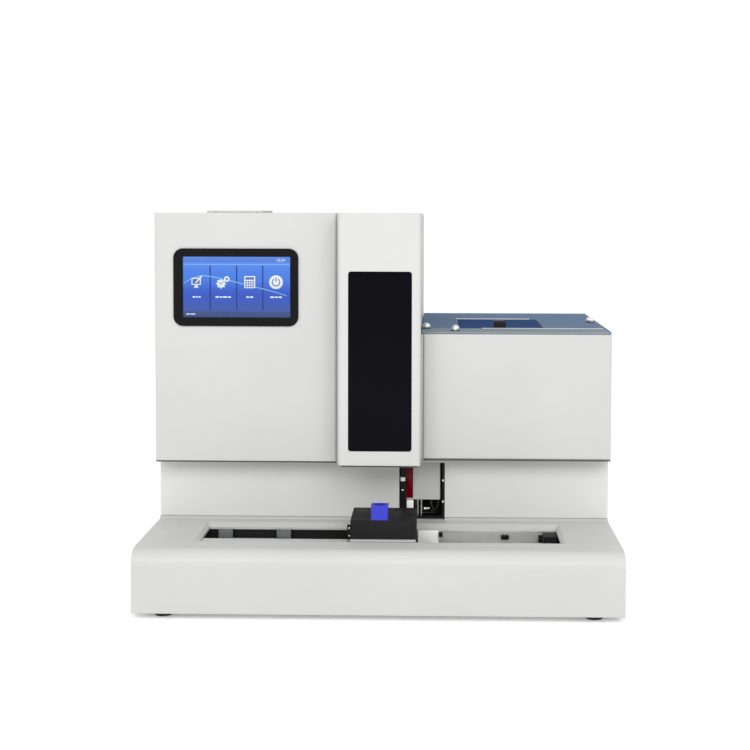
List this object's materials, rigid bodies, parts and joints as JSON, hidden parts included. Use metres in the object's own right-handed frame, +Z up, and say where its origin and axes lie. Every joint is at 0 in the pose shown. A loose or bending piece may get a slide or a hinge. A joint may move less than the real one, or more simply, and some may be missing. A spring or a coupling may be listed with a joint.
{
  "type": "urine analyzer",
  "caption": "Bench-top urine analyzer: a rack channel under a sampling needle, a touch screen tower, and a strip feeder box with a hatch in its tinted lid.",
  "frame": {"origin": "middle of the footprint, on the bench under the feet", "axes": "+Z up, the front faces -Y, +X to the right as seen from the front"},
  "size_m": [0.65, 0.53, 0.5393],
  "materials": {
    "housing": "warm light grey moulded, fine satin texture",
    "foot_rubber": "matte black",
    "sheet_steel": "brushed stainless",
    "black_plastic": "fine matte black",
    "gloss_black": "polished black",
    "display": "lit blue touch screen behind glass",
    "lid_tint": "smoky blue translucent acrylic",
    "blue_tint": "clear blue acrylic",
    "chrome": "polished",
    "aluminium": "satin anodised",
    "silver_plastic": "silver grey",
    "white_plastic": "white",
    "clear_glass": "clear",
    "black_rubber": "matte black",
    "paper": "plain white",
    "circuit_board": "green laminate"
  },
  "bodies": {
    "chassis": {"foot_front_left": "foot_rubber", "foot_rear_left": "foot_rubber", "foot_front_right": "foot_rubber", "foot_rear_right": "foot_rubber", "base_plate": "sheet_steel", "base_cover": "housing", "channel_liner": "black_plastic", "tray_right": "sheet_steel", "tray_left": "sheet_steel", "sampling_station": "black_plastic", "stat_holder": "blue_tint", "mid_housing": "housing", "scanner_bracket": "black_plastic", "barcode_scanner": "silver_plastic", "tower_shell": "housing", "tower_front_panel": "housing", "screen_bezel": "gloss_black", "touch_panel": "display", "cover_hinge_upper": "sheet_steel", "cover_hinge_lower": "sheet_steel", "lift_frame": "aluminium", "lift_motor": "black_plastic", "lift_belt": "black_rubber", "syringe_pump": "silver_plastic", "syringe_barrel": "clear_glass", "strip_housing": "housing", "strip_front_panel": "housing", "top_lid": "lid_tint", "lid_screw_1": "chrome", "lid_screw_2": "chrome", "lid_screw_3": "chrome", "strip_hopper": "white_plastic", "strip_platform": "aluminium", "feeder_frame": "sheet_steel", "optics_head": "black_plastic", "printer_bay": "black_plastic", "rear_panel": "housing", "fan_frame": "black_plastic", "power_inlet": "black_plastic", "power_supply": "sheet_steel", "control_board": "circuit_board"},
    "cover": {"sampling_cover": "housing", "cover_window": "gloss_black"},
    "hatch": {"hopper_hatch": "lid_tint", "hatch_knob": "black_plastic"},
    "needle_head": {"needle_carriage": "aluminium", "sampling_needle": "chrome"},
    "upper_pulley": {"lift_pulley_upper": "aluminium"},
    "lower_pulley": {"lift_pulley_lower": "aluminium"},
    "feed": {"feed_pusher": "sheet_steel"},
    "shift": {"shift_pusher": "black_plastic"},
    "eject": {"eject_pusher": "aluminium"},
    "drum": {"strip_drum": "white_plastic"},
    "drawer": {"waste_drawer": "white_plastic"},
    "printer_flap": {"printer_lid": "housing"},
    "platen": {"platen_roller": "black_rubber"},
    "roll": {"paper_roll": "paper"},
    "plunger": {"syringe_plunger": "white_plastic"},
    "fan": {"fan_rotor": "black_plastic"},
    "rocker": {"power_rocker": "black_plastic"}
  },
  "joints": [
    {"name": "cover_hinge", "type": "hinge", "parent": "chassis", "child": "cover", "pos_m": [0.051, -0.11, 0.183], "axis": [0, 0, 1], "range_deg": [0, 88]},
    {"name": "hatch_hinge", "type": "hinge", "parent": "chassis", "child": "hatch", "pos_m": [0.17075, 0.117, 0.367], "axis": [-1, 0, 0], "range_deg": [0, 105]},
    {"name": "needle_lift", "type": "slide", "parent": "chassis", "child": "needle_head", "axis": [0, 0, -1], "range_m": [0, 0.1]},
    {"name": "upper_pulley_spin", "type": "hinge", "parent": "chassis", "child": "upper_pulley", "pos_m": [0.0355, -0.107, 0.49], "axis": [0, 1, 0], "range_deg": [-10, 760]},
    {"name": "lower_pulley_spin", "type": "hinge", "parent": "chassis", "child": "lower_pulley", "pos_m": [0.0355, -0.107, 0.21], "axis": [0, 1, 0], "range_deg": [-10, 760]},
    {"name": "feed_slide", "type": "slide", "parent": "chassis", "child": "feed", "axis": [0, 1, 0], "range_m": [0, 0.0251]},
    {"name": "shift_slide", "type": "slide", "parent": "chassis", "child": "shift", "axis": [-1, 0, 0], "range_m": [0, 0.1725]},
    {"name": "eject_slide", "type": "slide", "parent": "chassis", "child": "eject", "axis": [0, -1, 0], "range_m": [0, 0.0465]},
    {"name": "drum_spin", "type": "hinge", "parent": "chassis", "child": "drum", "pos_m": [0.17075, 0.035, 0.278], "axis": [1, 0, 0], "continuous": true},
    {"name": "drawer_slide", "type": "slide", "parent": "chassis", "child": "drawer", "axis": [1, 0, 0], "range_m": [0, 0.172]},
    {"name": "printer_lid_hinge", "type": "hinge", "parent": "chassis", "child": "printer_flap", "pos_m": [-0.221, 0.0535, 0.5378], "axis": [-1, 0, 0], "range_deg": [0, 105]},
    {"name": "paper_roll_spin", "type": "hinge", "parent": "chassis", "child": "roll", "pos_m": [-0.221, -0.0007, 0.5043], "axis": [1, 0, 0], "continuous": true},
    {"name": "platen_spin", "type": "hinge", "parent": "printer_flap", "child": "platen", "pos_m": [-0.221, -0.02, 0.5303], "axis": [1, 0, 0], "continuous": true},
    {"name": "plunger_slide", "type": "slide", "parent": "chassis", "child": "plunger", "axis": [0, 0, -1], "range_m": [0, 0.04]},
    {"name": "fan_spin", "type": "hinge", "parent": "chassis", "child": "fan", "pos_m": [-0.15, 0.2355, 0.3], "axis": [0, 1, 0], "continuous": true},
    {"name": "rocker_tilt", "type": "hinge", "parent": "chassis", "child": "rocker", "pos_m": [0.293, 0.2575, 0.0455], "axis": [1, 0, 0], "range_deg": [0, 16]}
  ],
  "couplings": [
    {"joint": "upper_pulley_spin", "follows": "needle_lift", "rad_per_m": 125},
    {"joint": "lower_pulley_spin", "follows": "needle_lift", "rad_per_m": 125},
    {"joint": "platen_spin", "follows": "paper_roll_spin", "ratio": -4.8889}
  ]
}
